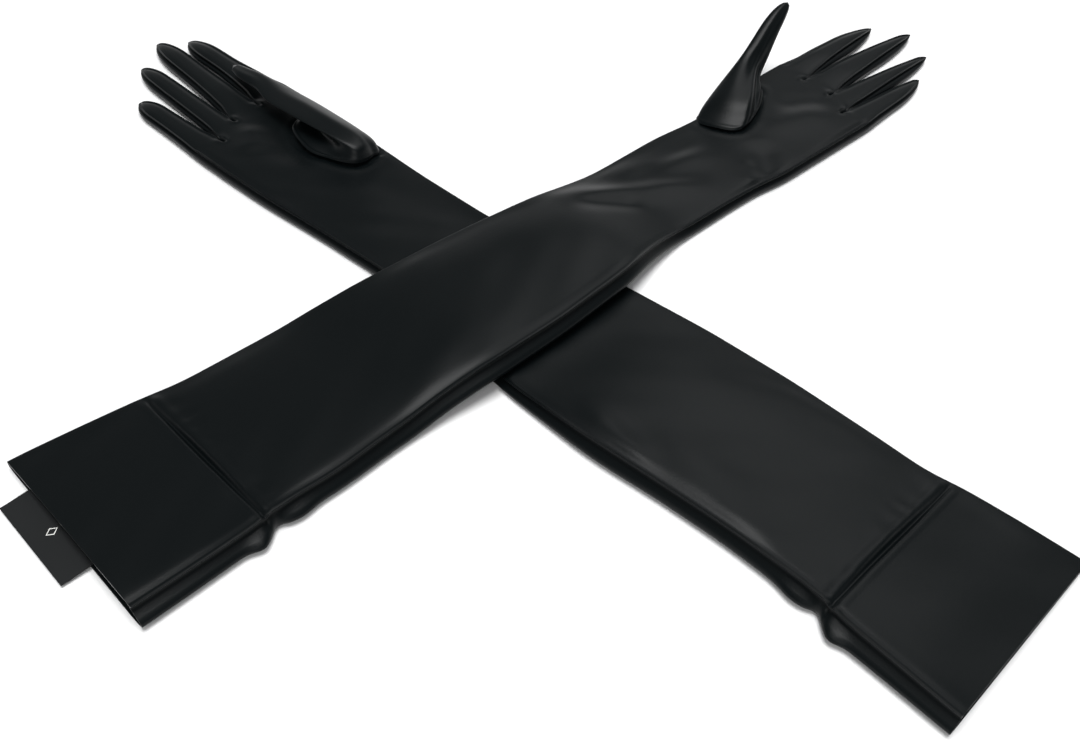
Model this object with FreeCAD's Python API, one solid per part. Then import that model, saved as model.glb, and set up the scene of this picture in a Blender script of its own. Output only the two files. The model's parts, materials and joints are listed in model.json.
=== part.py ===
"""A pair of long opera gloves in thin faux leather, lying crossed with both palms up.

Each glove is a flattened hollow sleeve: a cuff band, a long arm, a hand with a set-in thumb, and four
fingers whose side walls are separate strips (fourchettes). The left glove lies over the right one.
All lengths are millimetres. The origin is on the table where the two gloves cross: +X runs along the
left glove from cuff to fingertips, +Z is up.

Each glove is drawn in its own glove frame: x from the cuff opening to the fingertips, y from the middle
finger's line towards the thumb, z up from the table. The right glove is then mirrored in y.
"""

import FreeCAD, Part

import math
import os

V = FreeCAD.Vector

# ---- driving dimensions -------------------------------------------------------------------------
WALL = 1.0                # one layer of leather
GAP = 0.3                 # space between two bodies at a bend line
TALL = 60.0               # height of a cutting tool
FOLD = 3.0                # how far the fold on the thumb side reaches in from a sleeve's edge
CHAMFER = 2.5             # height of the fold's slanted corners
FLAT = 1e-5               # four corners this close to one plane make one face

CUFF_END = 62.0           # where the cuff band is sewn to the arm
ELBOW = 140.0             # where the upper arm folds
WRIST = 405.0             # where the hand bends
PALM_THICK = 8.0          # outer height of the hand and the fingers
THUMB_SIDES = 16          # sides of the thumb's section

LABEL_ROOT = 5.0          # how far inside the opening the label is sewn
LABEL_LENGTH = 22.0
LABEL_WIDTH = 54.0
LABEL_THICK = 0.5

# Stations along a sleeve: distance from the opening, width, outer height, the place of the sleeve's
# middle towards the thumb, and the height of its underside. The left arm climbs over the right one.
CUFF = {
    "right": [(0, 113, 12, 0, 0), (30, 110, 12, 0, 0), (CUFF_END, 104, 12, 0, 0)],
    "left": [(0, 113, 12, 0, 0), (30, 110, 12, -1, 0), (CUFF_END, 104, 12, -2, 0)],
}
UPPER_ARM = {
    "right": [(CUFF_END, 101, 12, 0, 0), (75, 97, 12, 1, 0), (ELBOW - GAP / 2, 98, 12, 1, 0)],
    "left": [(CUFF_END, 101, 12, -2, 0), (75, 98, 12, -2, 0), (ELBOW - GAP / 2, 98, 12, -2.5, 0)],
}
FOREARM = {
    "right": [(ELBOW + GAP / 2, 98, 12, 1, 0), (195, 98, 11, -2, 0), (240, 95, 7.5, -3.5, 0),
              (300, 85, 7.5, -4.5, 0), (355, 73, 7.5, -6, 0),
              (WRIST - GAP / 2, 74, PALM_THICK, -8, 0)],
    "left": [(ELBOW + GAP / 2, 98, 12, -2.5, 0), (184, 94, 12, -5, 7.9), (240, 92, 12, -6.5, 7.9),
             (296, 86, 12, -7.5, 7.9), (338, 74, 10, -5.5, 0),
             (WRIST - GAP / 2, 73, PALM_THICK, -4.5, 0)],
}
PALM = {
    "right": [(WRIST + GAP / 2, 74, -8), (440, 77, -9.5), (480, 80, -10), (514, 80, -11)],
    "left": [(WRIST + GAP / 2, 73, -4.5), (440, 75, -5.5), (480, 78, -5.5), (514, 78, -5.5)],
}

# Fingers: the two edges of the finger's band, measured from the palm's middle towards the thumb, where
# it leaves the hand, the fingertip, and the finger's own width.
FINGERS = {
    "index": {"band": (39.5, 16.0), "root": 514.0, "tip": 602.0, "width": 20.0},
    "middle": {"band": (16.0, -5.6), "root": 514.0, "tip": 614.0, "width": 18.0},
    "ring": {"band": (-5.6, -22.8), "root": 511.0, "tip": 597.0, "width": 15.6},
    "little": {"band": (-22.8, -39.5), "root": 500.0, "tip": 568.0, "width": 15.6},
}
# how far each finger leans towards the thumb, in degrees
LEAN = {
    "right": {"index": 0.0, "middle": 2.0, "ring": 1.0, "little": -3.0},
    "left": {"index": 0.0, "middle": 0.0, "ring": 0.0, "little": 0.0},
}
# The right thumb lies over the root of the index finger, so that finger bends beyond the thumb's tip.
INDEX_BEND = {"right": 554.0, "left": 514.0}

# Thumb: the middle and turn of its oval seam in the palm, then the bend and the tip as (x, y, z).
THUMB_SEAM_HALF_LENGTH = 29.0
THUMB_SEAM_HALF_WIDTH = 12.0
THUMB_HALF_WIDTH = 9.5
THUMB_HALF_HEIGHT = 5.3
THUMB_ROUND = 10.0        # length of the rounded tip
THUMB_TAPER = 0.92        # the thumb's width where the tip starts, as a share of its width at the bend
THUMB = {
    "right": {"seam": (455, 13.5), "turn": 8, "bend": (484, 15.5, 15.6), "tip": (546, 15.5, 15.6)},
    "left": {"seam": (455, 17), "turn": 12, "bend": (481, 25, 20), "tip": (522, 41, 41)},
}

# where the two gloves cross, along each of them, and the angle between them
CROSSING = {"right": 299.6, "left": 242.0}
TURN = {"right": 92.2, "left": 0.0}


# ---- helpers ------------------------------------------------------------------------------------
def place(shape, glove):
    """Moves a shape from its glove's frame to the frame that both gloves share."""
    if glove == "right":
        shape = shape.mirror(V(0, 0, 0), V(0, 1, 0))
    shape = shape.translated(V(-CROSSING[glove], 0, 0))
    return shape.rotate(V(0, 0, 0), V(0, 0, 1), TURN[glove])


def save(shape, glove, name):
    """Writes one node, as a single closed solid."""
    solid = place(shape.removeSplitter(), glove).Solids[0]
    solid.exportStep("parts/" + glove + "_" + name + ".step")


def wire(points):
    return Part.makePolygon(points + [points[0]])


def slab(outline, low, high):
    """A flat piece with an outline of (x, y) points between two heights."""
    face = Part.Face(wire([V(x, y, low) for x, y in outline]))
    return face.extrude(V(0, 0, high - low))


def skin(rings):
    """A closed solid through rings of points, with flat faces only."""
    faces = [Part.Face(wire(rings[0])), Part.Face(wire(rings[-1]))]
    for near, far in zip(rings, rings[1:]):
        for index in range(len(near)):
            a, b = near[index - 1], near[index]
            c, d = far[index], far[index - 1]
            out_of_plane = abs((b - a).cross(d - a).normalize().dot(c - a))
            if out_of_plane < FLAT:
                faces.append(Part.Face(wire([a, b, c, d])))
            else:
                faces.append(Part.Face(wire([a, b, c])))
                faces.append(Part.Face(wire([a, c, d])))
    shell = Part.makeShell(faces)
    shell.sewShape()
    solid = Part.makeSolid(shell)
    if solid.Volume < 0:
        solid.reverse()
    return solid


def edges(station):
    """The ulnar and the radial edge of a sleeve at a station."""
    width, middle = station[1], station[3]
    return middle - width / 2, middle + width / 2


# ---- sleeves: cuff band, upper arm and forearm ---------------------------------------------------
def palm_panel(stations):
    """The upper layer, which ends in the side seam on the ulnar side."""
    rings = []
    for station in stations:
        ulnar, radial = edges(station)
        x, top = station[0], station[4] + station[2]
        rings.append([V(x, ulnar, top), V(x, radial - FOLD, top),
                      V(x, radial - FOLD, top - WALL), V(x, ulnar, top - WALL)])
    return skin(rings)


def back_panel(stations):
    """The lower layer, with the upright side under the seam and the fold on the radial side."""
    rings = []
    for station in stations:
        ulnar, radial = edges(station)
        x, low, top = station[0], station[4], station[4] + station[2]
        inner = radial - WALL
        rings.append([
            V(x, ulnar, top - WALL), V(x, ulnar, low), V(x, radial - FOLD, low), V(x, radial, low + CHAMFER),
            V(x, radial, top - CHAMFER), V(x, radial - FOLD, top), V(x, radial - FOLD, top - WALL),
            V(x, inner, top - FOLD), V(x, inner, low + FOLD), V(x, radial - FOLD, low + WALL),
            V(x, ulnar + WALL, low + WALL), V(x, ulnar + WALL, top - WALL)])
    return skin(rings)


def make_sleeve(glove):
    save(palm_panel(CUFF[glove]), glove, "cuff_palm_side")
    save(back_panel(CUFF[glove]), glove, "cuff_back_side")
    save(palm_panel(UPPER_ARM[glove]), glove, "upper_arm_palm_side")
    save(back_panel(UPPER_ARM[glove]), glove, "upper_arm_back_side")
    save(palm_panel(FOREARM[glove]), glove, "forearm_palm_side")
    save(back_panel(FOREARM[glove]), glove, "forearm_back_side")


# ---- hand ---------------------------------------------------------------------------------------
def hand_outline(glove):
    """The palm's outline, stepped at the front where each finger leaves it."""
    palm = PALM[glove]
    middle = palm[-1][2]
    little = FINGERS["little"]["root"]
    ring = FINGERS["ring"]["root"]
    long_fingers = FINGERS["middle"]["root"]
    ulnar_side = [(x, centre - width / 2) for x, width, centre in palm if x < little]
    radial_side = [(x, centre + width / 2) for x, width, centre in palm]
    front = [(little, ulnar_side[-1][1]), (little, middle + FINGERS["little"]["band"][0]),
             (ring, middle + FINGERS["little"]["band"][0]), (ring, middle + FINGERS["ring"]["band"][0]),
             (long_fingers, middle + FINGERS["ring"]["band"][0])]
    return ulnar_side, front, radial_side


def strip(line, inward):
    """The plan of a wall that follows a line of (x, y) points and is one layer thick."""
    return line + [(x, y + inward) for x, y in reversed(line)]


def thumb_seam(glove, offset):
    """The thumb's oval seam, as points in plan. It starts at the wrist end of the oval."""
    centre_x, centre_y = THUMB[glove]["seam"]
    turn = math.radians(THUMB[glove]["turn"])
    points = []
    for step in range(THUMB_SIDES):
        angle = 2 * math.pi * step / THUMB_SIDES
        along = -(THUMB_SEAM_HALF_LENGTH + offset) * math.cos(angle)
        across = (THUMB_SEAM_HALF_WIDTH + offset) * math.sin(angle)
        points.append((centre_x + along * math.cos(turn) - across * math.sin(turn),
                       centre_y + along * math.sin(turn) + across * math.cos(turn)))
    return points


def make_hand(glove):
    ulnar_side, front, radial_side = hand_outline(glove)
    outline = ulnar_side + front + list(reversed(radial_side))
    hole = slab(thumb_seam(glove, -WALL), 0, TALL)
    palm = slab(outline, PALM_THICK - WALL, PALM_THICK).cut(hole)
    save(palm, glove, "hand_palm_side")
    back = slab(outline, 0, WALL)
    walls = [strip(ulnar_side + [front[0]], WALL), strip(radial_side, -WALL),
             strip([front[1], front[2]], WALL)]
    for plan in walls:
        back = back.fuse(slab(plan, WALL, PALM_THICK - WALL))
    save(back, glove, "hand_back_side")


# ---- fingers ------------------------------------------------------------------------------------
def finger_outline(start, tip, half, inset):
    """A finger's plan in its own frame, from its bend to a round tip."""
    reach = tip - half
    half = half - inset
    corners = [V(start, -half, 0), V(reach, -half, 0), V(reach + half, 0, 0), V(reach, half, 0),
               V(start, half, 0)]
    lines = [Part.makeLine(corners[0], corners[1]),
             Part.Arc(corners[1], corners[2], corners[3]).toShape(),
             Part.makeLine(corners[3], corners[4]), Part.makeLine(corners[4], corners[0])]
    return Part.Face(Part.Wire(lines))


def lean(shape, glove, name):
    """Moves a finger from its own frame to its root on the hand."""
    finger = FINGERS[name]
    middle = PALM[glove][-1][2] + sum(finger["band"]) / 2
    shape = shape.rotate(V(0, 0, 0), V(0, 0, 1), LEAN[glove][name])
    return shape.translated(V(finger["root"], middle, 0))


def make_finger(glove, name):
    finger = FINGERS[name]
    half = finger["width"] / 2
    length = finger["tip"] - finger["root"]
    bend = INDEX_BEND[glove] - finger["root"] if name == "index" else 0.0
    corner = half * math.sin(math.radians(abs(LEAN[glove][name])))
    spans = [(bend + GAP + corner, length, name)]
    if bend > 0:
        spans.append((0.0, bend, name + "_root"))
    for start, end, label in spans:
        whole = finger_outline(start, length, half, 0.0)
        hollow = finger_outline(start - 1.0, length, half, WALL)
        stop = Part.makeBox(TALL * 4, TALL, TALL, V(end, -TALL / 2, -TALL / 2))
        tube = whole.cut(hollow)
        reach = length - half if end == length else end
        side = Part.makeBox(reach - start, WALL, PALM_THICK - 2 * WALL, V(start, -half, WALL))
        sides = {"ulnar": side, "radial": side.translated(V(0, 2 * half - WALL, 0))}
        palm = whole.extrude(V(0, 0, WALL)).translated(V(0, 0, PALM_THICK - WALL)).cut(stop)
        back = whole.extrude(V(0, 0, WALL)).cut(stop)
        upright = tube.extrude(V(0, 0, PALM_THICK - 2 * WALL)).translated(V(0, 0, WALL)).cut(stop)
        sewn = {"ulnar": name != "little", "radial": name != "index"}
        for where, strip_side in sides.items():
            if sewn[where]:
                upright = upright.cut(strip_side)
                save(lean(strip_side, glove, name), glove, label + "_" + where + "_fourchette")
        for piece in upright.Solids:
            back = back.fuse(piece)
        save(lean(palm, glove, name), glove, label + "_palm_side")
        save(lean(back, glove, name), glove, label + "_back_side")


# ---- thumb --------------------------------------------------------------------------------------
def thumb_axes(glove):
    """The thumb's direction, the direction across it and the one out of its upper side."""
    bend, tip = V(*THUMB[glove]["bend"]), V(*THUMB[glove]["tip"])
    ahead = (tip - bend).normalize()
    across = V(0, 0, 1).cross(ahead).normalize()
    return bend, (tip - bend).Length, ahead, across, ahead.cross(across)


def thumb_section(glove, along, scale, inset):
    """An oval across the thumb at a distance from its bend."""
    bend, _, ahead, across, upper = thumb_axes(glove)
    points = []
    for step in range(THUMB_SIDES):
        angle = 2 * math.pi * step / THUMB_SIDES
        height = (THUMB_HALF_HEIGHT * scale - inset) * math.cos(angle)
        width = (THUMB_HALF_WIDTH * scale - inset) * math.sin(angle)
        points.append(bend + ahead * along + upper * height + across * width)
    return points


def thumb_base(glove, inset):
    """The fixed part of the thumb, from its oval seam in the palm to its bend."""
    seam = [V(x, y, PALM_THICK) for x, y in thumb_seam(glove, -inset)]
    return skin([seam, thumb_section(glove, -GAP / 2, 1.0, inset)])


def thumb_tube(glove, inset):
    """The moving part of the thumb, which narrows and ends in a round tip."""
    length = thumb_axes(glove)[1]
    start = GAP / 2 if inset == 0 else -1.0
    rings = [thumb_section(glove, start, 1.0, inset)]
    for turn in (0, 35, 60, 78):
        along = length - THUMB_ROUND + (THUMB_ROUND - inset) * math.sin(math.radians(turn))
        scale = THUMB_TAPER * math.cos(math.radians(turn))
        rings.append(thumb_section(glove, along, scale, inset * math.cos(math.radians(turn))))
    return skin(rings)


def make_thumb(glove):
    save(thumb_base(glove, 0.0).cut(thumb_base(glove, WALL)), glove, "thumb_base")
    save(thumb_tube(glove, 0.0).cut(thumb_tube(glove, WALL)), glove, "thumb")


# ---- label --------------------------------------------------------------------------------------
def make_label():
    """The woven label, sewn to the inside of the left cuff's lower layer and hanging out of it."""
    middle = 12.0
    half = LABEL_WIDTH / 2
    outline = [(LABEL_ROOT, middle - half), (LABEL_ROOT, middle + half),
               (LABEL_ROOT - LABEL_LENGTH, middle + half), (LABEL_ROOT - LABEL_LENGTH, middle - half)]
    low = WALL + GAP
    save(slab(outline, low, low + LABEL_THICK), "left", "label")


os.makedirs("parts", exist_ok=True)
for glove_name in ("right", "left"):
    make_sleeve(glove_name)
    make_hand(glove_name)
    for finger_name in FINGERS:
        make_finger(glove_name, finger_name)
    make_thumb(glove_name)
make_label()
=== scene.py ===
"""Two black faux-leather opera gloves, lying crossed with both palms up, on a pale floor.

Every glove is drawn in its own glove frame, in millimetres: x from the cuff opening to the fingertips, y
from the middle finger's line towards the thumb, z up from the table. glove_place() then turns it into the
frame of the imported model, in metres. The right glove is the mirror image of the left one.
"""
import json
import math

import bpy
import numpy as np
from mathutils import Matrix, Vector


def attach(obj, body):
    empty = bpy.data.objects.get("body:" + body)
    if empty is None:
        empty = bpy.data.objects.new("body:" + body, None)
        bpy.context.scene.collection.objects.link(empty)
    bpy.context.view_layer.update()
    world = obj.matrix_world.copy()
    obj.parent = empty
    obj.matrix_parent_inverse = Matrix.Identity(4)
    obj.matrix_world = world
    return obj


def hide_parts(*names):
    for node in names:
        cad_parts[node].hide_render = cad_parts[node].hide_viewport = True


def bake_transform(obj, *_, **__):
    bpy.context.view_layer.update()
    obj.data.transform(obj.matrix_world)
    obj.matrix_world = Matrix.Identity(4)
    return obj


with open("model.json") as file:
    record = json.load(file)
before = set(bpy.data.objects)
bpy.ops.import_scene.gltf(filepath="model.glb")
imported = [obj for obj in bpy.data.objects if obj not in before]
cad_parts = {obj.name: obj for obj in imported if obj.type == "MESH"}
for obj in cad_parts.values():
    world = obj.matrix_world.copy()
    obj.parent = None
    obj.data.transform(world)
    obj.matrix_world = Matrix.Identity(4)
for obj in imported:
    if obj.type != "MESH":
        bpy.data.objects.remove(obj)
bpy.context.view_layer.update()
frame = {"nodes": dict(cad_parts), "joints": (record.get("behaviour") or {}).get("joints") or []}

MM = 0.001
WRIST = 405.0            # the wrist hinge's place along a glove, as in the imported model
CUFF_SEAM = 62.0         # where the cuff band is sewn to the arm
SLEEVE_CUT = {"left": 168.0, "right": 300.0}   # where a sleeve's mesh is in two pieces
LEATHER = 0.8            # thickness of one layer
FINGER_LEATHER = 0.5     # the same at the narrow fingertips, where thick leather would meet itself
HEM = 0.8                # extra thickness of the turned hem at the opening
HEM_END = 14.0
HEM_CLEAR = 5.0          # the hem's second layer starts this far from the side seam, full at twice that
CUFF_RIM = -3.0          # the cuff's edge at the opening
LABEL_SIZE = (54.0, 22.0)
LABEL_ROOT = 5.0         # how far inside the opening the label is sewn
LABEL_MIDDLE = 12.0
LABEL_HEIGHT = 2.2       # where it lies on the hem
LABEL_DROOP = 0.9        # how much lower its free edge lies, past the rim
LABEL_FIXED = -3.5       # a place on the label just outside the rim; not used for its shape
LABEL_FREE = -10.0       # and a place further out on the label, also not used for its shape
LABEL_COLUMNS, LABEL_ROWS = 28, 12
LABEL_THICKNESS = 0.35
MARK_PLACE = -6.5
ELBOW_BLEND = (160, 120)         # two places near the elbow, given to bake_transform, which doesn't use them
WRIST_BLEND = (388, 424)
FINGER_BLEND = (-4, 16)          # two places near a finger's root, measured from its bend line; not used
THUMB_BLEND = (-8, 12)
THUMB_BEND = {"left": (474.0, 23.0, 20.0), "right": (484.0, 16.0, 15.5)}
RIGHT_INDEX_BEND = 554.0         # past the tip of the folded thumb that lies over the finger's root
HINGE_MIDDLE = {"left": -4.5, "right": -8.0}   # y of the wrist hinge's middle
GLOVES = ("right", "left")
FINGER_NAMES = ("little", "ring", "middle", "index")

# ---- shape of each glove, read along its length -------------------------------------------------
# Each list holds (distance from the cuff opening, value) pairs.
SEAM_LINE = {            # the side seam on the ulnar side
    "left": [(-5, -51), (30, -51), (60, -50.5), (72, -48.5), (100, -50), (130, -48), (160, -48),
             (190, -51), (235, -51), (285, -48), (315, -41), (335, -38.5), (385, -39.5), (405, -40.5),
             (420, -43.5), (466, -44.5), (520, -45.5)],
    "right": [(-3, -52.5), (30, -50), (55, -48.5), (72, -45), (116, -45.5), (146, -47.5), (194, -51),
              (243, -51), (300, -46), (342, -41), (391, -44.5), (420, -47.5), (440, -49.5),
              (470, -51), (520, -52)],
}
FOLD_LINE = {            # the rounded fold on the thumb side
    "left": [(0, 57), (30, 54.5), (60, 51.5), (79, 48), (148, 46.5), (190, 40), (227, 38.5), (255, 36.5),
             (290, 33), (315, 32), (395, 32), (425, 28.5), (460, 30), (493, 33.5), (540, 32.5)],
    "right": [(0, 56), (30, 54.5), (60, 52), (72, 49), (100, 50), (150, 50.5), (200, 48.5), (249, 44),
              (300, 37), (342, 31.5), (396, 29.3), (436, 29.5), (495, 30), (530, 27.5)],
}
SIDE_HEIGHT = {          # height of the upright side under the seam
    "left": [(0, 11.5), (150, 11.5), (240, 10.5), (290, 10.5), (340, 8.2), (400, 7.2), (440, 7.6),
             (520, 7.2)],
    "right": [(0, 11.5), (190, 11.5), (235, 7.6), (350, 7.2), (400, 7.2), (440, 7.6), (520, 7.2)],
}
FOLD_HEIGHT = {          # thickness at the fold
    "left": [(0, 5.6), (60, 5.0), (200, 5.0), (400, 5.0), (520, 5.5)],
    "right": [(0, 4.0), (60, 5.0), (200, 5.0), (240, 4.6), (350, 4.6), (400, 5.0), (520, 5.5)],
}
CROWN = {                # how far the upper layer stands up between seam and fold
    "left": [(0, 0.3), (60, 0.8), (100, 1.8), (300, 1.8), (400, 1.4), (470, 0.8), (520, 0.6)],
    "right": [(0, 0.3), (60, 0.8), (100, 1.8), (200, 1.6), (240, 0.0), (350, 0.0), (400, 1.2), (520, 0.6)],
}
UNDERSIDE = {            # height of the underside: the left glove climbs over the right one
    "left": [(0, 0), (142, 0), (186, 8.3), (294, 8.3), (340, 0), (520, 0)],
    "right": [(0, 0), (520, 0)],
}
SIDE_BULGE = {           # how far the upright side stands out beyond the seam
    "left": [(0, 5.0), (40, 4.0), (100, 3.2), (200, 4.2), (290, 3.0), (335, 1.5), (400, 0.6), (520, 0.4)],
    "right": [(0, 3.5), (50, 4.5), (100, 2.4), (150, 2.0), (180, 3.0), (250, 1.5), (340, 0.8), (520, 0.6)],
}

# crotches between the fingers, from little to index, and the fingertips: (x, y)
CROTCH = {
    "left": [(498.5, -27.6), (510.0, -10.0), (512.5, 12.5)],
    "right": [(497.0, -33.9), (509.5, -17.2), (514.0, 3.8)],
}
FINGERTIP = {
    "left": {"little": (570, -35.5), "ring": (596.5, -23.0), "middle": (611.5, 0.0), "index": (598, 22.0)},
    "right": {"little": (566, -45.0), "ring": (596.5, -24.0), "middle": (614, -1.0), "index": (603, 15.5)},
}
FINGER_HALF_WIDTH = {"little": 8.0, "ring": 7.8, "middle": 8.6, "index": 9.0}
TIP_SHAPE = {"left": (0.55, 1.9, 0.75), "right": (0.72, 2.3, 0.62)}   # where the taper starts, its two powers
PALM_SIDE_TAPER = {"left": 0.80, "right": 0.38}   # how much a finger's palm side narrows towards the tip
FINGER_HEIGHT = {"little": 7.6, "ring": 8.0, "middle": 8.4, "index": 8.2}

# ---- how finely the meshes are divided ----------------------------------------------------------
LANE_STEPS = (0.0, 0.025, 0.055, 0.09, 0.14, 0.21, 0.3, 0.4, 0.5, 0.6, 0.7, 0.79, 0.86, 0.91, 0.945,
              0.975, 1.0)
SIDE_STEPS = 12          # columns of an upright side, of the fold and of each fourchette
ROW_LENGTH = 2.0
FINE_ROWS = ((-3.0, 2.0, 0.5), (56.0, 70.0, 0.6), (494.0, 512.0, 1.0))   # (from, to, row length)
FAN_START = 440.0        # where the rows start to turn towards the line of finger roots
BODY_END = 512.0         # where they reach it
FAN_EASE = 70.0
LEAST_THICKNESS = 2.4    # of the sleeve, from its underside to its upper layer
CROTCH_HEIGHT = 4.2      # where both layers meet between two fingers
FINGER_LOW = 0.3         # height of a finger's underside
FINGER_ROW = 1.5


def smooth_line(pairs, spread=7.0):
    """A function that follows the (distance, value) pairs with rounded corners."""
    xs = np.arange(-60.0, 700.0, 1.0)
    ys = np.interp(xs, [p[0] for p in pairs], [p[1] for p in pairs])
    reach = np.arange(-4 * spread, 4 * spread + 1)
    weights = np.exp(-0.5 * (reach / spread) ** 2)
    padded = np.pad(ys, len(reach) // 2, mode="edge")
    ys = np.convolve(padded, weights / weights.sum(), mode="valid")[:len(xs)]
    return lambda x: np.interp(x, xs, ys)


def ease(t):
    """0 below 0 and 1 above 1, with a smooth rise between them."""
    t = np.clip(t, 0.0, 1.0)
    return t * t * (3 - 2 * t)


def hill(distance, width):
    """A smooth bump, 1 at distance 0."""
    return np.exp(-(distance / width) ** 2)


# ---- from a glove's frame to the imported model's frame -------------------------------------------
def glove_place(glove):
    """A function that turns points of a glove's frame, in mm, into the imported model's frame, in metres."""
    wrist = next(j for j in frame["joints"] if j["name"] == glove + "_wrist_bend")
    axis = Vector(wrist["axis"]).normalized()
    up = Vector((0, 0, 1))
    ahead = up.cross(axis)
    thumb_side = -axis if glove == "left" else axis
    hinge = Vector(wrist["pos_m"])
    hinge.z = 0
    origin = hinge - ahead * WRIST * MM - thumb_side * HINGE_MIDDLE[glove] * MM
    basis = np.array([ahead, thumb_side, up])
    return lambda points: np.asarray(points, float) * MM @ basis + np.array(origin)


# ---- surface detail of the sleeves --------------------------------------------------------------
def ridge(x, y, start, end, width, height, taper=0.35):
    """A long soft fold from one point to another, highest in its middle."""
    ax, ay = start
    bx, by = end
    length = math.hypot(bx - ax, by - ay)
    dx, dy = (bx - ax) / length, (by - ay) / length
    along = ((x - ax) * dx + (y - ay) * dy) / length
    across = -(x - ax) * dy + (y - ay) * dx
    ends = ease(along / taper) * ease((1 - along) / taper)
    return height * ends * hill(across, width)


def ripples(x, y, seed, length, count):
    """Low smooth waves in many directions, the same each run."""
    rng = np.random.default_rng(seed)
    total = np.zeros_like(x)
    for _ in range(count):
        angle, phase = rng.uniform(0, math.pi), rng.uniform(0, 2 * math.pi)
        wave = length * rng.uniform(0.7, 1.6)
        total += np.sin(2 * math.pi * (x * math.cos(angle) + y * math.sin(angle)) / wave + phase)
    return total / math.sqrt(count)


FOLDS = {                # (start, end, width, height) of the long folds on each palm side
    "left": [((296, 30), (392, -28), 9, 2.2), ((305, 18), (345, -12), 7, -1.6),
             ((330, 26), (420, -6), 10, 1.6), ((345, 10), (415, 14), 8, -1.2),
             ((408, -44), (438, -10), 10, -1.7), ((396, -40), (420, -18), 5, 0.8),
             ((120, -45), (240, -20), 16, 1.2), ((170, 30), (300, 5), 18, 1.0),
             ((440, -5), (500, -22), 12, 1.3), ((470, 8), (508, -16), 10, -1.2)],
    "right": [((330, 20), (400, -30), 14, 1.2), ((405, 22), (440, -30), 14, -1.0),
              ((90, -44), (180, -20), 14, 1.4), ((110, 35), (210, 10), 20, 1.0),
              ((150, -50), (215, -34), 8, 1.6), ((440, -10), (505, -2), 12, -2.2),
              ((470, -30), (500, -10), 9, 1.6)],
}


def thumb_seam_distance(glove, x, y):
    """Distance from points on the palm to the thumb's base seam."""
    seam = closed_curve(np.array(THUMB_BASE[glove], float), 96)[:, :2]
    away = np.hypot(x[:, None] - seam[None, :, 0], y[:, None] - seam[None, :, 1])
    return away.min(axis=1)


def palm_relief(glove, x, y):
    """Height that folds and ripples add to the upper layer."""
    total = 0.5 * ripples(x, y, 3 if glove == "left" else 8, 80.0, 6)
    total += 0.12 * ripples(x, y, 21 if glove == "left" else 29, 30.0, 8)
    for start, end, width, height in FOLDS[glove]:
        total = total + ridge(x, y, start, end, width, height)
    if x.max() > 400:
        away = thumb_seam_distance(glove, x, y)
        total = total + 0.4 * hill(away - 4.0, 2.2) - 1.0 * hill(away, 1.1)
    return total


# ---- the trank: cuff, arm and palm as one tube --------------------------------------------------
def section_columns():
    """The place of each column on the upper layer, from seam (0) to fold (1), in four finger lanes."""
    columns = []
    for lane in range(4):
        columns += [(lane, step) for step in LANE_STEPS[:-1]]
    return columns + [(3, 1.0)]


def lane_edges(glove, x):
    """y of the five lane edges across the hand at x, from the seam to the fold."""
    seam, fold = LINES[glove]["seam"](x), LINES[glove]["fold"](x)
    lines = LINES[glove]
    at_front = [lines["seam"](BODY_END)] + [y for _, y in CROTCH[glove]] + [lines["fold"](BODY_END)]
    shares = (np.array(at_front) - at_front[0]) / (at_front[-1] - at_front[0])
    return seam + (fold - seam) * shares[:, None]


def front_line(glove):
    """x of the finger roots at the lane edges."""
    xs = [x for x, _ in CROTCH[glove]]
    return np.array([xs[0] - 1.0] + xs + [xs[-1] + 1.0])


def row_places(first, last):
    """Distances of the rows, closer together where the surface has fine detail."""
    places = list(np.arange(first, last, ROW_LENGTH)) + [last]
    for start, end, length in FINE_ROWS:
        places = [x for x in places if not start < x < end]
        places += list(np.arange(start, end, length))
    return sorted(set(round(float(x), 3) for x in places if first <= x <= last))


def cuff_seam_relief(x, share):
    """The sunken seam between the cuff band and the arm. It gapes in the middle of the palm side."""
    gape = 1.0 + 1.3 * np.sin(math.pi * np.clip(share, 0, 1)) ** 2
    gathers = 0.14 * np.sin(46.0 * share + 3 * np.sin(9.0 * share)) * hill(x - CUFF_SEAM - 7.0, 5.0)
    return (0.25 * hill(x - CUFF_SEAM + 3.0, 2.0) + 0.6 * hill(x - CUFF_SEAM - 3.6, 2.6)
            - gape * hill(x - CUFF_SEAM, 0.8 + 0.25 * gape) + gathers)


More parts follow.
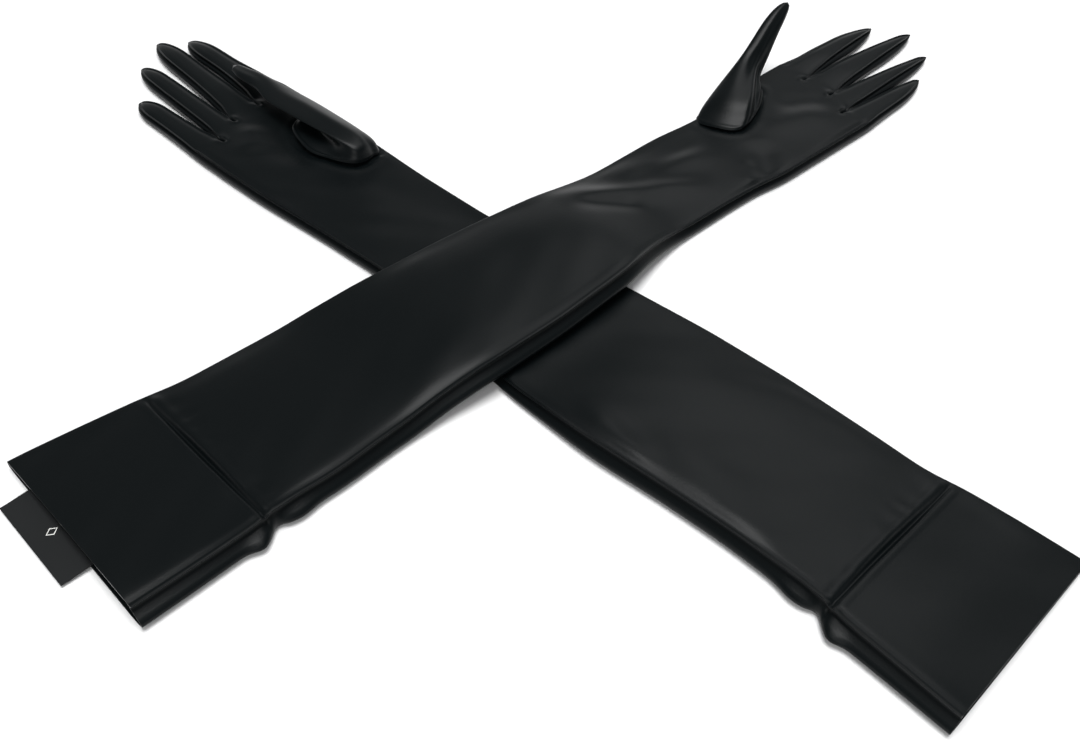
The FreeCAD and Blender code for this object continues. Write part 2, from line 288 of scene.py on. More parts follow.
def trank_rows(glove, places):
    """Rings of the trank at the given distances. The last ring is the line of finger roots."""
    columns = section_columns()
    lanes = np.array([c[0] for c in columns])
    steps = np.array([c[1] for c in columns])
    front = front_line(glove)
    lines = LINES[glove]
    rings = []
    for base in places:
        # near the fingers the rows bend to follow the line of the roots
        bend = ease((base - FAN_START) / FAN_EASE) * max(base - FAN_START, 0.0) / (BODY_END - FAN_START)
        front_x = front[lanes] + (front[lanes + 1] - front[lanes]) * steps
        x = base + bend * (front_x - BODY_END)
        edges = lane_edges(glove, base)
        y = edges[lanes, 0] + (edges[lanes + 1, 0] - edges[lanes, 0]) * steps
        seam, fold = edges[0, 0], edges[-1, 0]
        share = (y - seam) / (fold - seam)
        under = lines["underside"](x)
        side, thin = lines["side"](x), lines["thin"](x)
        top = under + thin + (side - thin) * (1 - share) ** 0.85
        top = top + lines["crown"](x) * np.sin(math.pi * np.clip(share, 0, 1)) ** 0.9
        inner = ease(share / 0.10) * ease((1 - share) / 0.10)
        top = top + inner * palm_relief(glove, x, y)
        top = np.maximum(top, under + LEAST_THICKNESS)
        seam_relief = cuff_seam_relief(x, share)
        top = top + seam_relief * ease((1 - share) / 0.06)
        # the seam's ridge and the valley beside it
        top = top + 0.7 * hill(y - seam, 0.9) - 0.6 * hill(y - seam - 3.0, 1.4)
        bottom = under + 0.25 + 0.8 * (1 - ease(share / 0.05)) + 0.9 * (1 - ease((1 - share) / 0.05))
        bottom = bottom - 0.2 * seam_relief * (seam_relief < 0)
        # crotches: both layers meet between two fingers, inside a small raised corner
        middle = under + CROTCH_HEIGHT
        for edge in (1, 2, 3):
            behind, beside = front[edge] - x, y - edges[edge, 0]
            away = np.hypot(np.maximum(behind, 0) * 0.8, beside)
            top = top + 0.4 * hill(away - 2.6, 1.0)
            pinch = np.clip(1 - behind / 3.5, 0, 1) ** 1.2 * np.clip(1 - np.abs(beside) / 1.5, 0, 1)
            top = top + (middle - top) * pinch
            bottom = bottom + (middle - bottom) * np.clip(1 - behind / 4.0, 0, 1) * hill(beside, 1.2)
        upper = np.stack([x, y, top], axis=1)
        lower = np.stack([x, y, bottom], axis=1)[::-1]
        rings.append(close_ring(upper, lower, lines))
    return np.array(rings)


# Places on the upright side: inwards of the seam (or, if below 0, outwards in shares of the bulge), and
# the share of the way down. The seam's edge overhangs a valley, and the back layer swells out below it.
WALL_PROFILE = ((0.25, 0.05), (0.9, 0.11), (1.7, 0.18), (2.0, 0.25), (1.5, 0.33), (0.5, 0.42),
                (-0.45, 0.53), (-0.85, 0.64), (-1.0, 0.75), (-0.9, 0.86), (-0.5, 0.95))


def close_ring(upper, lower, lines):
    """Adds the fold on the thumb side and the upright side under the seam to the two layers."""
    fold = rounded_side(upper[-1], lower[0])
    x, seam, top = upper[0]
    low = lower[-1][2]
    bulge = float(lines["bulge"](x)) + pucker(x)
    wall = []
    for out, share in reversed(WALL_PROFILE):
        shift = out if out > 0 else out * bulge
        wall.append((x, seam + shift, top + (low - top) * share))
    return np.concatenate([upper, fold, lower, np.array(wall)])


def fold_reach(half):
    """How far a fold stands out beyond the edge of its layers, from half its height."""
    return 0.84 * half - 0.6


def rounded_side(above, below):
    """Points of a fold from the edge of the upper layer round to the edge of the lower one."""
    angles = math.pi * np.arange(1, SIDE_STEPS) / SIDE_STEPS
    middle, half = (above[2] + below[2]) / 2, (above[2] - below[2]) / 2
    out = above[1] + fold_reach(half) * np.sin(angles)
    return np.stack([np.full(len(angles), above[0]), out, middle + half * np.cos(angles)], axis=1)


def pucker(x):
    """The gathered corner where the cuff band meets the arm."""
    return (3.0 * float(hill(x - 55.0, 5.0)) - 2.8 * float(hill(x - 66.0, 4.0))
            + 1.6 * float(hill(x - 78.0, 7.0)))


LINES = {}
for _glove in GLOVES:
    LINES[_glove] = {
        "seam": smooth_line(SEAM_LINE[_glove]),
        "fold": smooth_line(FOLD_LINE[_glove]),
        "side": smooth_line(SIDE_HEIGHT[_glove]),
        "thin": smooth_line(FOLD_HEIGHT[_glove]),
        "crown": smooth_line(CROWN[_glove]),
        "underside": smooth_line(UNDERSIDE[_glove], 9.0),
        "bulge": smooth_line(SIDE_BULGE[_glove]),
    }


# ---- meshes -------------------------------------------------------------------------------------
def turned(glove, vectors):
    """Directions of a glove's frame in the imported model's frame."""
    return (PLACE[glove](vectors) - PLACE[glove]([[0, 0, 0]])) / MM


def ring_normals(rings):
    """Outward unit normals of rings that are closed all round."""
    around = np.roll(rings, -1, axis=1) - np.roll(rings, 1, axis=1)
    along = np.gradient(rings, axis=0)
    normals = np.cross(along, around)
    return normals / np.maximum(np.linalg.norm(normals, axis=2, keepdims=True), 1e-9)


def shell(name, rings, normals, glove, tip=None, thickness=LEATHER):
    """A tube of leather with a real thickness. Its smooth shading follows the given normals."""
    rows, columns = rings.shape[:2]
    count = rows * columns
    inside = rings - normals * np.broadcast_to(thickness, (rows, columns))[..., None]
    points = [rings.reshape(-1, 3), inside.reshape(-1, 3)]
    outward = [normals.reshape(-1, 3), -normals.reshape(-1, 3)]
    grid = np.arange(count).reshape(rows, columns)
    after = np.roll(grid, -1, axis=1)
    quads = np.stack([grid[:-1], grid[1:], after[1:], after[:-1]], axis=-1).reshape(-1, 4)
    # faces as lists of points, and whether their shading follows the normals
    smooth = [tuple(f) for f in quads.tolist()] + [tuple(f) for f in (quads[:, ::-1] + count).tolist()]
    ends = [(grid[0], after[0])] + ([] if tip is not None else [(after[-1], grid[-1])])
    rims = [(a, b, b + count, a + count)
            for left, right in ends for a, b in zip(left.tolist(), right.tolist())]
    if tip is not None:
        ahead = (rings[-1] - rings[-3]).mean(axis=0)
        ahead = ahead / np.linalg.norm(ahead)
        points.append(np.array([tip, tip - ahead * np.max(thickness) * 0.5]))
        outward.append(np.array([ahead, -ahead]))
        for a, b in zip(grid[-1].tolist(), after[-1].tolist()):
            smooth += [(a, 2 * count, b), (b + count, 2 * count + 1, a + count)]
    outward = turned(glove, np.concatenate(outward))
    faces = smooth + rims
    if glove == "right":
        faces = [tuple(reversed(f)) for f in faces]
    mesh = bpy.data.meshes.new(name)
    mesh.from_pydata(PLACE[glove](np.concatenate(points)).tolist(), [], faces)
    mesh.polygons.foreach_set("use_smooth", [True] * len(faces))
    corners = np.array([c for f in faces for c in f])
    shading = outward[corners]
    shading[sum(len(f) for f in smooth):] = 0.0
    mesh.normals_split_custom_set(shading.tolist())
    mesh.update()
    obj = bpy.data.objects.new(name, mesh)
    bpy.context.scene.collection.objects.link(obj)
    return obj


# ---- fingers ------------------------------------------------------------------------------------
# A fourchette seen from the end: the share of the way out from the palm side's edge to the finger's
# widest line, the share of the way down, and how far the surface lies outside that line
FOURCHETTE_PROFILE = ((0.0, 0.03, -0.1), (0.0, 0.08, -1.0), (0.0, 0.14, -1.9), (0.04, 0.21, -2.0),
                      (0.14, 0.27, -1.2), (0.36, 0.33, -0.1), (0.62, 0.41, 0.3), (0.84, 0.52, 0.4),
                      (0.97, 0.66, 0.3), (1.0, 0.80, 0.1), (0.95, 0.93, 0.0))


def finger_section(lane, palm_half, half_width, height, scale):
    """(y, z) points round a finger: palm side, radial side, back, ulnar side."""
    steps = np.array(LANE_STEPS)
    radial_edge = half_width - fold_reach((height - FINGER_LOW) / 2) if lane == 3 else palm_half
    ulnar_edge = -half_width + 0.5 * scale if lane == 0 else -palm_half
    y = ulnar_edge + (radial_edge - ulnar_edge) * steps
    edge = np.minimum(y - ulnar_edge, radial_edge - y)
    bent = np.abs(2 * steps - 1)
    top = height - 0.8 * scale * bent ** 2.6 + 0.3 * hill(edge, 0.7) - 0.3 * hill(edge - 1.8, 0.9)
    face = np.stack([y, top], axis=1)
    back_half = 0.9 * half_width
    back = np.stack([-back_half + 2 * back_half * steps, FINGER_LOW + 0.7 * scale * bent ** 4],
                    axis=1)
    folded = rounded_side((0, radial_edge, top[-1]), (0, radial_edge, back[-1, 1]))[:, 1:]
    radial = folded if lane == 3 else fourchette(radial_edge, half_width, top[-1], back[-1, 1], scale)
    ulnar = fourchette(-ulnar_edge, half_width, top[0], back[0, 1], scale) * (-1, 1)
    return np.concatenate([face, radial, back[::-1], ulnar[::-1]])


def fourchette(edge, widest, top, bottom, scale):
    """(y, z) points down a fourchette, from the palm side's edge to the back."""
    return np.array([(edge + (widest - edge) * out + beyond * scale, top + (bottom - top) * down)
                     for out, down, beyond in FOURCHETTE_PROFILE])


def lane_root(lane, last_ring):
    """The part of the trank's last ring that a finger grows from, in the finger section's order."""
    per_lane = len(LANE_STEPS) - 1
    wide = 4 * per_lane + 1
    upper = last_ring[:wide]
    fold = last_ring[wide:wide + SIDE_STEPS - 1]
    lower = last_ring[wide + SIDE_STEPS - 1:2 * wide + SIDE_STEPS - 1][::-1]
    wall = last_ring[2 * wide + SIDE_STEPS - 1:]
    top = upper[lane * per_lane:(lane + 1) * per_lane + 1]
    low = lower[lane * per_lane:(lane + 1) * per_lane + 1]
    steps = np.linspace(0, 1, SIDE_STEPS + 1)[1:-1, None]
    radial = fold if lane == 3 else top[-1] + (low[-1] - top[-1]) * steps
    ulnar = wall if lane == 0 else low[0] + (top[0] - low[0]) * steps
    return np.concatenate([top, radial, low[::-1], ulnar])


def front_ring(fingers, row):
    """The given row of all four fingers, put together in the order of the trank's rings."""
    wide = len(LANE_STEPS)
    tops, lows = [], []
    for rings in fingers:
        tops.append(rings[row][:wide])
        lows.append(rings[row][wide + SIDE_STEPS - 1:2 * wide + SIDE_STEPS - 1][::-1])
    fold = fingers[3][row][wide:wide + SIDE_STEPS - 1]
    wall = fingers[0][row][2 * wide + SIDE_STEPS - 1:]
    return np.concatenate([joined_lanes(tops), fold, joined_lanes(lows)[::-1], wall])


def joined_lanes(lanes):
    """Lanes side by side, each pair sharing the middle of its two edges."""
    parts = [lanes[0][:-1]]
    for before, lane in zip(lanes, lanes[1:]):
        parts.append((before[-1:] + lane[:1]) / 2)
        parts.append(lane[1:-1])
    return np.concatenate(parts + [lanes[-1][-1:]])


def finger_rows(glove, lane, last_ring):
    """Rings of one finger, from the trank's last ring to the fingertip."""
    name = FINGER_NAMES[lane]
    root = lane_root(lane, last_ring)
    tip_x, tip_y = FINGERTIP[glove][name]
    root_middle = root[:len(LANE_STEPS), 1].mean()
    root_half = np.ptp(root[:len(LANE_STEPS), 1]) / 2
    root_height = float(np.median(root[:len(LANE_STEPS), 2]))
    length = tip_x - root[:, 0].mean()
    rows = int(length / FINGER_ROW)
    taper_from, sharpness, fullness = TIP_SHAPE[glove]
    rings = []
    for row in range(rows + 1):
        t = 1 - (1 - row / rows) ** 1.25
        end = max(0.0, (t - taper_from) / (1 - taper_from))
        taper = max((1 - end ** sharpness) ** fullness, 0.05)
        spread = (root_half - FINGER_HALF_WIDTH[name]) * (1 - ease(t / 0.6))
        half = (FINGER_HALF_WIDTH[name] + spread) * (1 - 0.10 * t) * taper
        full = root_height + (FINGER_HEIGHT[name] * (1 - 0.12 * t) - root_height) * ease(t * length / 34.0)
        height = FINGER_LOW + (full - FINGER_LOW) * max(taper ** 0.7, 0.1)
        # the palm side's seams run straight from the crotch towards the fingertip
        palm_half = min(root_half * (1 - PALM_SIDE_TAPER[glove] * t), 0.86 * half)
        section = finger_section(lane, palm_half, half, height, min(1.0, taper * 1.3))
        lift = FINGER_HEIGHT[name] * 0.36 * (1 - max(taper ** 0.7, 0.1))
        centre = root_middle + (tip_y - root_middle) * t
        ring = np.empty((len(root), 3))
        ring[:, 0] = root[:, 0] + (tip_x - root[:, 0]) * t
        ring[:, 1] = root[:, 1] + (centre + section[:, 0] - root[:, 1]) * ease(t * length / 18.0)
        ring[:, 2] = root[:, 2] + (section[:, 1] + lift - root[:, 2]) * ease(t * length / 6.0)
        rings.append(ring)
    return np.array(rings)


# ---- thumb --------------------------------------------------------------------------------------
def closed_curve(points, count):
    """A smooth closed curve through a few points."""
    points = np.asarray(points, float)
    total = len(points)
    curve = []
    for t in np.arange(count) * total / count:
        i = int(t)
        f = t - i
        a, b, c, d = (points[(i + k) % total] for k in (-1, 0, 1, 2))
        curve.append(catmull(a, b, c, d, f))
    return np.array(curve)


def catmull(a, b, c, d, f):
    """The place at share f of the way from b to c, on a smooth curve through all four points."""
    return 0.5 * (2 * b + (c - a) * f + (2 * a - 5 * b + 4 * c - d) * f ** 2
                  + (3 * b - a - 3 * c + d) * f ** 3)


def flat_ring(middle, across, upper):
    """Eight points round a flattened section: one edge, three on its face, the other edge, three behind."""
    middle, across, upper = (np.array(v, float) for v in (middle, across, upper))
    around = ((1, 0), (0.62, 0.9), (0, 1), (-0.62, 0.9), (-1, 0), (-0.62, -0.9), (0, -1), (0.62, -0.9))
    return [tuple(middle + across * a + upper * u) for a, u in around]


# The thumb's base seam on the palm, as eight points round it. Heights are just inside the palm's surface.
THUMB_BASE = {
    "left": [(427, 28.5, 4.6), (427.5, 14, 7.4), (436, 2, 8.2), (456, 6.2, 8.0), (478, 19, 7.4),
             (480, 29.3, 4.2), (462, 29.4, 3.8), (442, 29, 3.8)],
    "right": [(432, 27, 4.6), (426, 20, 6.4), (424.5, 12, 7.4), (428, 5, 8.0), (440, -1, 8.0),
              (456, -4.5, 8.0), (480, 4, 7.8), (480, 26, 4.6)],
}
# The thumb's other sections, each in the same order as the base seam. On the right thumb, the fourth
# point is the rim that overhangs the hollow on the near side.
THUMB_SECTIONS = {
    "left": [
        [(434, 31, 8.4), (434.5, 16.5, 11.2), (442.5, 5, 11.8), (461, 9, 11.2), (479, 21.5, 10),
         (480, 30, 7), (464, 31.2, 6.5), (449, 31.5, 7)],
        [(446, 33, 14), (446.5, 22, 17.5), (453, 12, 17.5), (468, 14.5, 14.5), (480, 23.5, 12.5),
         (480, 30.5, 10.5), (470, 33, 11.5), (458, 34.3, 12.5)],
        flat_ring((478.5, 32, 18.5), (-4.7, 5.4, 5.6), (-0.4, -3.6, 2.9)),
        flat_ring((490.5, 35, 26), (-3.9, 4.8, 4.1), (-0.4, -2.9, 2.4)),
        flat_ring((502, 38, 33.5), (-3.2, 4.3, 2.9), (-0.3, -2.5, 2.1)),
        flat_ring((510, 39.6, 38.2), (-2.7, 3.7, 2.3), (-0.3, -2.1, 1.8)),
        flat_ring((516, 40.6, 41.2), (-2.0, 2.8, 1.6), (-0.2, -1.6, 1.4)),
        flat_ring((519.5, 41, 42.8), (-1.2, 1.7, 1.0), (-0.1, -1.0, 0.9)),
    ],
    "right": [
        [(436, 27.8, 9.5), (430, 20, 13), (428.5, 12.5, 14.5), (432, 7.2, 14.2), (442, 2.6, 10.0),
         (458, 1.0, 9.2), (480, 9, 8.8), (479, 26.5, 8.0)],
        [(446, 26.5, 12), (441, 20.5, 16), (439.5, 13, 17.4), (442, 6.0, 17.2), (447, 7.5, 13.6),
         (462, 9, 9.8), (483, 13, 9.4), (482, 25.5, 9.2)],
        [(463, 25.5, 12.8), (460, 19.5, 16.8), (459, 12, 18.4), (460, 3.6, 18), (463, 6.2, 15.4),
         (473, 15, 10.6), (489, 16, 9.8), (486, 24, 10.0)],
        [(482, 24.3, 13.2), (481, 18.5, 16.6), (480, 11.5, 18), (480, 2.2, 17.6), (482, 4.8, 15.2),
         (488, 13.5, 11.8), (496, 17, 11.2), (493, 22.5, 11.4)],
        [(503, 21.8, 13.8), (502, 16.5, 16.4), (502, 10, 17.4), (502, 2.0, 16.8), (503, 4.4, 14.8),
         (504, 10, 13.2), (505, 14.5, 12.8), (504, 19, 12.8)],
        flat_ring((522, 11.7, 15.2), (0.5, 6.8, -0.5), (0, 0.4, 2.1)),
        flat_ring((535, 10.4, 15.0), (1.0, 5.5, -0.4), (0, 0.3, 1.8)),
        flat_ring((543, 10.3, 14.8), (1.0, 3.6, -0.3), (0, 0.2, 1.3)),
    ],
}
THUMB_TIP = {"left": (521.4, 41.2, 43.6), "right": (547, 11, 14.7)}
THUMB_COLUMNS = 64
THUMB_ROWS = 76
# Soft folds down the thumb: (place round it, place along it, width round, width along, height)
THUMB_FOLDS = {
    "left": [(0.27, 0.20, 0.03, 0.26, 1.2), (0.35, 0.24, 0.03, 0.22, -1.6)],
    "right": [(0.20, 0.35, 0.06, 0.25, 0.6)],
}


def thumb_rows(glove):
    """Rings of the thumb on smooth curves from section to section."""
    sections = [THUMB_BASE[glove]] + THUMB_SECTIONS[glove]
    rings = np.array([closed_curve(section, THUMB_COLUMNS) for section in sections])
    padded = np.concatenate([[2 * rings[0] - rings[1]], rings, [2 * rings[-1] - rings[-2]]])
    rows = []
    for t in np.linspace(0, len(rings) - 1, THUMB_ROWS):
        i = min(int(t), len(rings) - 2)
        rows.append(catmull(*padded[i:i + 4], t - i))
    rows = np.array(rows)
    middle = rows.mean(axis=1, keepdims=True)
    if np.sum(ring_normals(rows) * (rows - middle)) < 0:
        rows = np.concatenate([rows[:, :1], rows[:, :0:-1]], axis=1)
        around = 1 - np.arange(THUMB_COLUMNS) / THUMB_COLUMNS
    else:
        around = np.arange(THUMB_COLUMNS) / THUMB_COLUMNS
    along = np.linspace(0, 1, THUMB_ROWS)[:, None]
    normals = ring_normals(rows)
    for place, place_along, width, width_along, height in THUMB_FOLDS[glove]:
        bump = height * hill(around[None, :] - place, width) * hill(along - place_along, width_along)
        rows = rows + normals * (bump * ease(along / 0.06))[..., None]
    # the leather stands out over its base seam
    rows = rows + ring_normals(rows) * (0.5 * hill(along - 0.03, 0.018))[..., None]
    return rows


# ---- materials ----------------------------------------------------------------------------------
def leather_material():
    """Smooth black leather with a fine grain."""
    material = bpy.data.materials.new("black_faux_leather")
    material.use_nodes = True
    nodes, links = material.node_tree.nodes, material.node_tree.links
    shader = nodes["Principled BSDF"]
    shader.inputs["Base Color"].default_value = (0.0018, 0.0030, 0.0034, 1)
    shader.inputs["Roughness"].default_value = 0.35
    shader.inputs["Specular IOR Level"].default_value = 0.14
    place = nodes.new("ShaderNodeTexCoord")
    grain = nodes.new("ShaderNodeTexNoise")
    grain.inputs["Scale"].default_value = 900
    grain.inputs["Detail"].default_value = 3
    bump = nodes.new("ShaderNodeBump")
    bump.inputs["Strength"].default_value = 0.12
    bump.inputs["Distance"].default_value = 0.0003
    links.new(place.outputs["Object"], grain.inputs["Vector"])
    links.new(grain.outputs["Fac"], bump.inputs["Height"])
    links.new(bump.outputs["Normal"], shader.inputs["Normal"])
    return material


def plain_material(name, colour, roughness, sheen=0.5):
    """One colour, with sheen as the strength of its gloss."""
    material = bpy.data.materials.new(name)
    material.use_nodes = True
    shader = material.node_tree.nodes["Principled BSDF"]
    shader.inputs["Base Color"].default_value = (*colour, 1)
    shader.inputs["Roughness"].default_value = roughness
    shader.inputs["Specular IOR Level"].default_value = sheen
    return material


# ---- one glove ----------------------------------------------------------------------------------
def point(glove, x, y=0.0, z=5.0):
    """A place of a glove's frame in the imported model's frame."""
    return tuple(PLACE[glove]([[x, y, z]])[0])


def finish_skin(obj, glove, body):
    """Leather, its slot and, where a body is given, the body it rides."""
    obj.data.materials.append(LEATHER_MATERIAL)
    if body:
        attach(obj, glove + "_" + body)


def hem_thickness(glove, place, ring):
    """One layer of leather, doubled by the turned hem near the opening and thinner at the side seam."""
    beside_seam = ring[:, 1] - LINES[glove]["seam"](place)
    pressed = 0.5 * hill(beside_seam, 2.5)
    return LEATHER * (1 - pressed) + HEM * (place < HEM_END) * ease((beside_seam - HEM_CLEAR) / HEM_CLEAR)


def make_sleeve(glove, places, rings, normals):
    """Cuff, upper arm and lower arm with the palm: three stretches of one tube."""
    cut = SLEEVE_CUT[glove]
    stretches = {"cuff": (places[0], CUFF_SEAM), "upper_sleeve": (CUFF_SEAM, cut),
                 "lower_sleeve": (cut, BODY_END)}
    skins = {}
    for name, (start, end) in stretches.items():
        rows = [i for i, x in enumerate(places) if start <= x <= end]
        thickness = np.array([hem_thickness(glove, places[i], rings[i]) for i in rows])
        skins[name] = shell(glove + "_" + name + "_skin", rings[rows], normals[rows], glove,
                            thickness=thickness)
        finish_skin(skins[name], glove, "upper_arm" if name == "cuff" else None)
    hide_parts(glove + "_cuff_palm_side", glove + "_cuff_back_side")
    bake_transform(skins["upper_sleeve"], glove + "_forearm", glove + "_upper_arm",
             point(glove, ELBOW_BLEND[0]), point(glove, ELBOW_BLEND[1]))
    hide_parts(glove + "_upper_arm_palm_side", glove + "_upper_arm_back_side")
    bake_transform(skins["lower_sleeve"], glove + "_forearm", glove + "_hand",
             point(glove, WRIST_BLEND[0]), point(glove, WRIST_BLEND[1]))
    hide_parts(glove + "_forearm_palm_side", glove + "_forearm_back_side",
                glove + "_hand_palm_side", glove + "_hand_back_side")
    return skins


def make_fingers(glove, fingers, root_normals):
    """Four fingers, each shaded like the palm where it grows out of it."""
    for lane, name in enumerate(FINGER_NAMES):
        rings = fingers[lane]
        normals = ring_normals(rings)
        shared = lane_root(lane, root_normals)
        wide = len(LANE_STEPS)
        normals[0, :wide] = shared[:wide]
        normals[0, wide + SIDE_STEPS - 1:2 * wide + SIDE_STEPS - 1] = (
            shared[wide + SIDE_STEPS - 1:2 * wide + SIDE_STEPS - 1])
        tip = rings[-1].mean(axis=0) + (0.35, 0, 0)
        finger = shell(glove + "_" + name + "_skin", rings, normals, glove, tip=tip, thickness=FINGER_LEATHER)
        finish_skin(finger, glove, None)
        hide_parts(*[n for n in frame["nodes"] if n.startswith(glove + "_" + name + "_")])
        bend = RIGHT_INDEX_BEND if (glove, name) == ("right", "index") else CROTCH[glove][min(lane, 2)][0]
        tip_y = FINGERTIP[glove][name][1]
        point(glove, bend + FINGER_BLEND[0], tip_y)
        point(glove, bend + FINGER_BLEND[1], tip_y)
        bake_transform(finger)


def make_thumb(glove):
    """The thumb, as one skin from its base seam to its tip."""
    rings = thumb_rows(glove)
    thumb = shell(glove + "_thumb_skin", rings, ring_normals(rings), glove, tip=THUMB_TIP[glove],
                  thickness=FINGER_LEATHER)
    finish_skin(thumb, glove, None)
    bend, ahead = np.array(THUMB_BEND[glove]), np.array(THUMB_TIP[glove]) - np.array(THUMB_BEND[glove])
    ahead = ahead / np.linalg.norm(ahead)
    point(glove, *(bend + ahead * THUMB_BLEND[0]))
    point(glove, *(bend + ahead * THUMB_BLEND[1]))
    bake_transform(thumb)
    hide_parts(glove + "_thumb", glove + "_thumb_base")


def make_glove(glove):
    first = {"left": -3.0, "right": -2.0}[glove]
    places = row_places(first, BODY_END)
    places = sorted(set(places + [CUFF_SEAM, SLEEVE_CUT[glove]]))
    rings = trank_rows(glove, places)
    fingers = [finger_rows(glove, lane, rings[-1]) for lane in range(4)]
    beyond = front_ring(fingers, 1)
    normals = ring_normals(np.concatenate([rings, beyond[None]]))[:-1]
    skins = make_sleeve(glove, places, rings, normals)
    make_fingers(glove, fingers, normals[-1])
    make_thumb(glove)
    return skins


# ---- the label in the left cuff -----------------------------------------------------------------
def label_height(x):
    """The label lies on the hem inside the cuff and droops a little past the rim."""
    return LABEL_HEIGHT - LABEL_DROOP * float(ease((CUFF_RIM - x) / 12.0))


def make_label(cuff):
    """A woven label with a plain diamond on it, sewn inside the left cuff and hanging out of it."""
    points = []
    for j in range(LABEL_ROWS + 1):
        for i in range(LABEL_COLUMNS + 1):
            u, v = i / LABEL_COLUMNS, j / LABEL_ROWS
            x = LABEL_ROOT - LABEL_SIZE[1] * v
            y = LABEL_MIDDLE + LABEL_SIZE[0] * (u - 0.5)
            wave = 0.12 * math.sin(5 * u + 1.2) + 0.1 * math.sin(3 * v)
            past_rim = float(ease((CUFF_RIM - x) / 10.0))
            points.append((x, y, label_height(x) + wave * past_rim))
    wide = LABEL_COLUMNS + 1
    faces = [(j * wide + i, j * wide + i + 1, (j + 1) * wide + i + 1, (j + 1) * wide + i)
             for j in range(LABEL_ROWS) for i in range(LABEL_COLUMNS)]
    mesh = bpy.data.meshes.new("left_label_cloth")
    mesh.from_pydata(PLACE["left"](points).tolist(), [], [tuple(reversed(f)) for f in faces])
    label = bpy.data.objects.new("left_label_cloth", mesh)
    bpy.context.scene.collection.objects.link(label)
    solid = label.modifiers.new("thickness", "SOLIDIFY")
    solid.thickness = LABEL_THICKNESS * MM
    label.data.materials.append(LABEL_MATERIAL)
    mark = make_mark()
    for piece in (label, mark):
        point("left", LABEL_FIXED, LABEL_MIDDLE)
        point("left", LABEL_FREE, LABEL_MIDDLE)
        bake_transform(piece)
    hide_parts("left_label")


def make_mark():
    """A small outlined diamond in pale thread."""
    corners = [(-2.6, 0), (0, 1.9), (2.6, 0), (0, -1.9)]
    width, height = 0.28, 0.25
    points, faces = [], []
    for x, y in corners:
        length = math.hypot(x, y)
        for grow in (1 - width / length, 1 + width / length):
            for z in (0.0, height):
                mark_x = MARK_PLACE + x * grow
                points.append((mark_x, LABEL_MIDDLE + y * grow, label_height(mark_x) + 0.15 + z))
    for i in range(4):
        a, b = 4 * i, 4 * ((i + 1) % 4)
        faces += [(a, a + 1, b + 1, b), (a + 1, a + 3, b + 3, b + 1), (a + 3, a + 2, b + 2, b + 3),
                  (a + 2, a, b, b + 2)]
    mesh = bpy.data.meshes.new("left_label_mark")
    mesh.from_pydata(PLACE["left"](points).tolist(), [], faces)
    mark = bpy.data.objects.new("left_label_mark", mesh)
    bpy.context.scene.collection.objects.link(mark)
    mark.data.materials.append(plain_material("pale_thread", (0.75, 0.75, 0.72), 0.7))
    return mark


# ---- camera, light and floor --------------------------------------------------------------------
CAMERA_PLACE = (-0.3167, -0.3456, 0.430)
CAMERA_AHEAD = (0.7093, 0.7050, 0)     # the level direction the camera looks in
CAMERA_DOWN, CAMERA_ROLL = math.radians(46.45), math.radians(2.357)
SENSOR_WIDTH, LENS = 36.0, 40.35
FLOOR_REACH = 12.0


def make_camera():
    """The camera looks down across the crossing, from the side of both cuffs."""
    ahead = Vector(CAMERA_AHEAD).normalized()
    forward = ahead * math.cos(CAMERA_DOWN) + Vector((0, 0, -math.sin(CAMERA_DOWN)))
    level_right = Vector((ahead.y, -ahead.x, 0))
    level_up = level_right.cross(forward)
    right = level_right * math.cos(CAMERA_ROLL) + level_up * math.sin(CAMERA_ROLL)
    up = level_up * math.cos(CAMERA_ROLL) - level_right * math.sin(CAMERA_ROLL)
    data = bpy.data.cameras.new("camera")
    data.sensor_width = SENSOR_WIDTH
    data.lens = LENS
    camera = bpy.data.objects.new("camera", data)
    bpy.context.scene.collection.objects.link(camera)
    turn = Matrix([right, up, -forward]).transposed().to_4x4()
    camera.matrix_world = Matrix.Translation(CAMERA_PLACE) @ turn
    bpy.context.scene.camera = camera


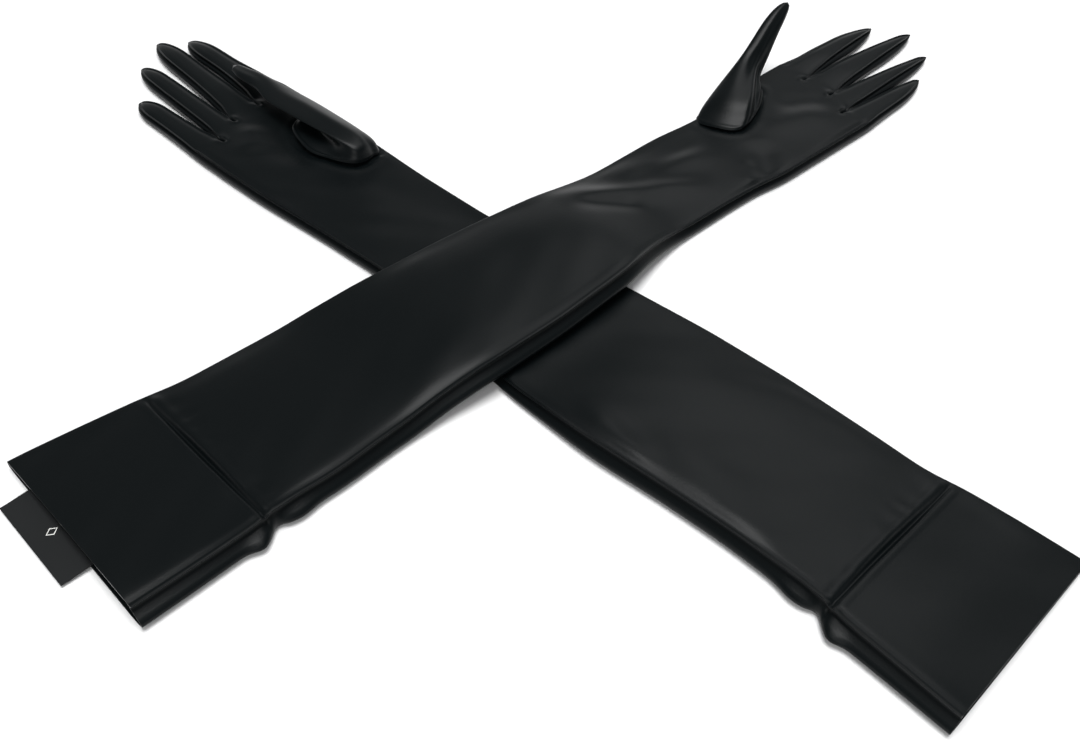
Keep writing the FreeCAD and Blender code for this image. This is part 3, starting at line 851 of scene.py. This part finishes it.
def area_light(name, place, target, size, power):
    """A soft white light at place that points at target."""
    data = bpy.data.lights.new(name, "AREA")
    data.shape = "RECTANGLE"
    data.size, data.size_y = size
    data.energy = power
    light = bpy.data.objects.new(name, data)
    bpy.context.scene.collection.objects.link(light)
    direction = Vector(target) - Vector(place)
    turn = direction.to_track_quat("-Z", "Y").to_matrix().to_4x4()
    light.matrix_world = Matrix.Translation(place) @ turn


def make_stage():
    """A wide white floor under soft lights."""
    floor_mesh = bpy.data.meshes.new("floor")
    far = FLOOR_REACH
    corners = [(-far, -far, 0), (far, -far, 0), (far, far, 0), (-far, far, 0)]
    floor_mesh.from_pydata(corners, [], [(0, 1, 2, 3)])
    floor = bpy.data.objects.new("floor", floor_mesh)
    bpy.context.scene.collection.objects.link(floor)
    floor.data.materials.append(plain_material("floor_white", (0.85, 0.85, 0.85), 0.9))
    bpy.context.scene.world = studio_world()
    bpy.context.scene.view_settings.view_transform = "Standard"
    sun = bpy.data.lights.new("overhead", "SUN")
    sun.energy = 3.0
    sun.angle = math.radians(36)
    bpy.context.scene.collection.objects.link(bpy.data.objects.new("overhead", sun))
    area_light("key", (1.0, 0.35, 1.25), (0, 0, 0), (0.9, 0.9), 4.5)
    area_light("front", (-0.85, -0.85, 1.0), (0, 0, 0), (1.0, 0.7), 6)


def studio_world():
    """White near the horizon and dim overhead, so that flat leather stays dark."""
    world = bpy.data.worlds.new("studio")
    world.use_nodes = True
    nodes, links = world.node_tree.nodes, world.node_tree.links
    place = nodes.new("ShaderNodeTexCoord")
    split = nodes.new("ShaderNodeSeparateXYZ")
    ramp = nodes.new("ShaderNodeValToRGB")
    ramp.color_ramp.elements[0].position = 0.10
    ramp.color_ramp.elements[0].color = (1, 1, 1, 1)
    ramp.color_ramp.elements[1].position = 0.40
    ramp.color_ramp.elements[1].color = (0.15, 0.155, 0.16, 1)
    links.new(place.outputs["Generated"], split.inputs["Vector"])
    links.new(split.outputs["Z"], ramp.inputs["Fac"])
    links.new(ramp.outputs["Color"], nodes["Background"].inputs["Color"])
    return world


PLACE = {glove: glove_place(glove) for glove in GLOVES}
LEATHER_MATERIAL = leather_material()
LABEL_MATERIAL = plain_material("black_satin_weave", (0.006, 0.007, 0.0075), 0.55, 0.2)
make_glove("right")
make_label(make_glove("left")["cuff"])
make_stage()
make_camera()
